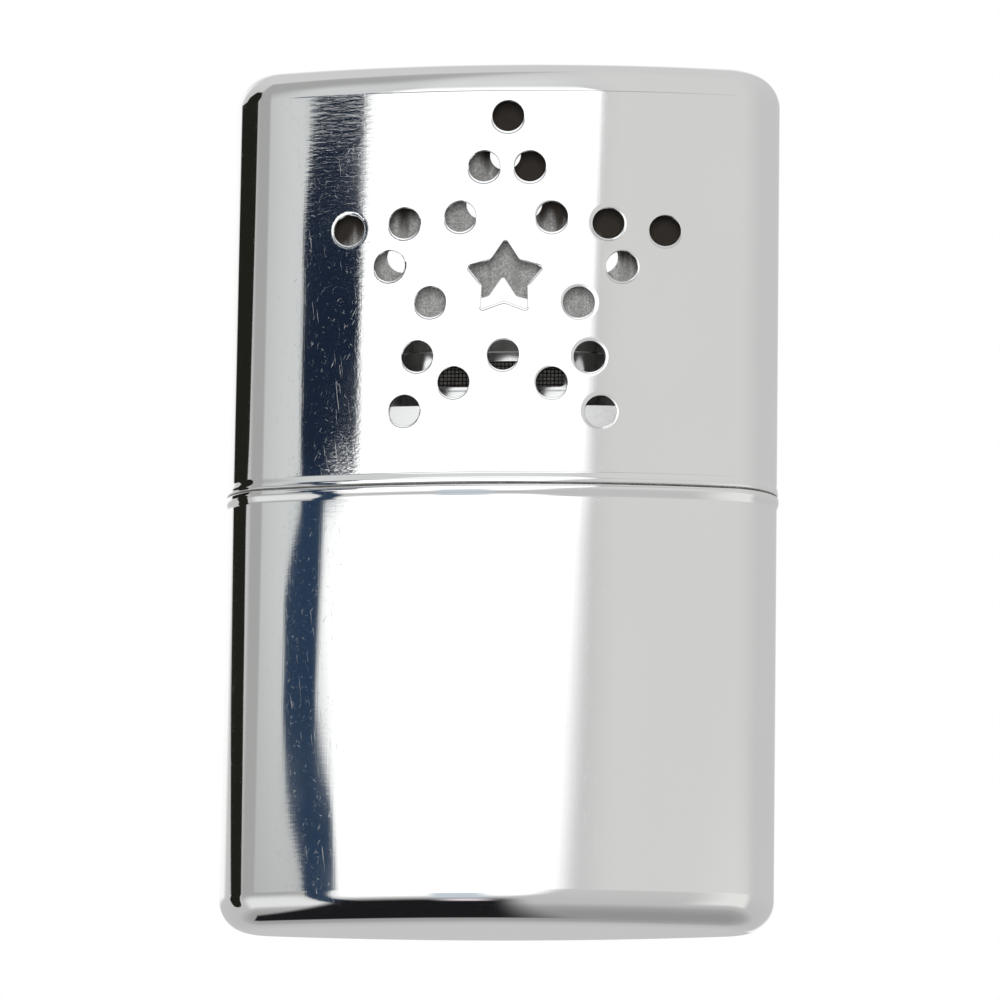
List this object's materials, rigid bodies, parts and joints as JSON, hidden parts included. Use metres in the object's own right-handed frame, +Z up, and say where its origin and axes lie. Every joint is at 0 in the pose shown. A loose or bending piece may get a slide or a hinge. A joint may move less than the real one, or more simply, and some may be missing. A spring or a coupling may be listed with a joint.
{
  "type": "catalytic hand warmer",
  "caption": "Pocket hand warmer: chromed lens-shaped fuel case with a lift-off lid vented by a star of round holes, and a catalytic burner on the filler neck inside.",
  "frame": {"origin": "middle of the base, where the case stands", "axes": "+Z up through the lid, +X along the width, front face towards -Y"},
  "size_m": [0.0664, 0.0196, 0.1048],
  "materials": {
    "chrome_shell": "mirror-bright chrome plating with fine rub marks",
    "polished_steel": "polished sheet steel",
    "burner_plating": "bright plating",
    "gauze_steel": "open gauze",
    "mesh_wire": "dark wire mesh",
    "glass_fibre": "grey glass-fibre mat with catalyst",
    "felt": "pressed felt",
    "cotton": "cotton wadding"
  },
  "bodies": {
    "tank": {"tank_case": "chrome_shell", "tank_top": "polished_steel", "filler_neck": "polished_steel", "neck_gauze": "gauze_steel", "wadding_felt": "felt", "tank_wadding": "cotton"},
    "lid": {"lid": "chrome_shell"},
    "burner": {"burner_skirt": "burner_plating", "burner_screen": "gauze_steel", "catalyst_pad": "glass_fibre", "catalyst_mesh_front": "mesh_wire", "catalyst_mesh_back": "mesh_wire", "burner_hood": "burner_plating"}
  },
  "joints": [
    {"name": "lid_lift", "type": "slide", "parent": "tank", "child": "lid", "axis": [0, 0, 1], "range_m": [0, 0.045]},
    {"name": "burner_pull", "type": "slide", "parent": "tank", "child": "burner", "axis": [0, 0, 1], "range_m": [0, 0.012]}
  ]
}
